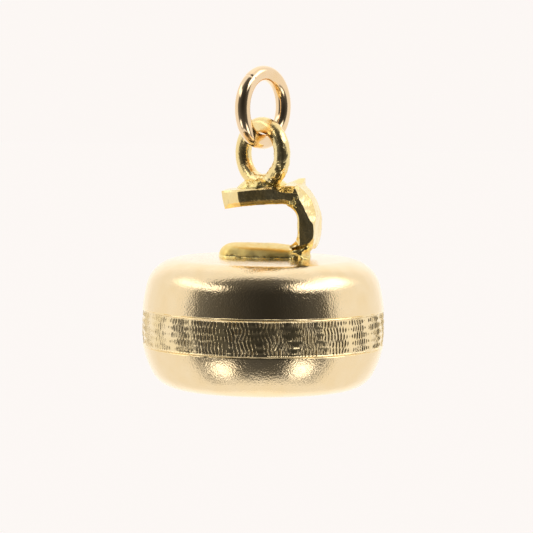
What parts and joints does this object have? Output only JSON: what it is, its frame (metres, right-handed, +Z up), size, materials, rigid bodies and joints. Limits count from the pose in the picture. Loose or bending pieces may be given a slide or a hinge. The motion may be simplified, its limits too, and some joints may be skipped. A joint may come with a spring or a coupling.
{
  "type": "curling stone charm",
  "caption": "Gold charm in the shape of a curling stone with an engraved band round its girth, an open C handle, and a soldered bail carrying a swinging jump ring.",
  "frame": {"origin": "centre of the flat base of the stone, on the stone's axis", "axes": "+Z up the stone's axis, towards the jump ring; +X along the handle, towards its riser, so the grip is open towards -X; +Y across the handle"},
  "size_m": [0.012, 0.012, 0.0158],
  "materials": {
    "stone_gold": "polished 9 carat gold",
    "handle_gold": "hand-filed and polished yellow gold",
    "solder": "flowed gold solder, unpolished",
    "ring_gold": "polished rose-toned gold wire"
  },
  "bodies": {
    "stone": {"upper_shell": "stone_gold", "lower_shell": "stone_gold", "striking_band": "stone_gold", "seam_solder": "solder", "handle_foot": "handle_gold", "foot_solder": "solder", "gooseneck": "handle_gold", "neck_solder": "solder", "grip_bar": "handle_gold", "grip_solder": "solder", "bail_loop": "handle_gold", "bail_solder": "solder"},
    "ring": {"jump_ring": "ring_gold"}
  },
  "joints": [
    {"name": "ring_swing", "type": "hinge", "parent": "stone", "child": "ring", "pos_m": [-0.0001, 0, 0.0129], "axis": [0.8192, -0.5736, 0], "range_deg": [-116, 116]}
  ]
}
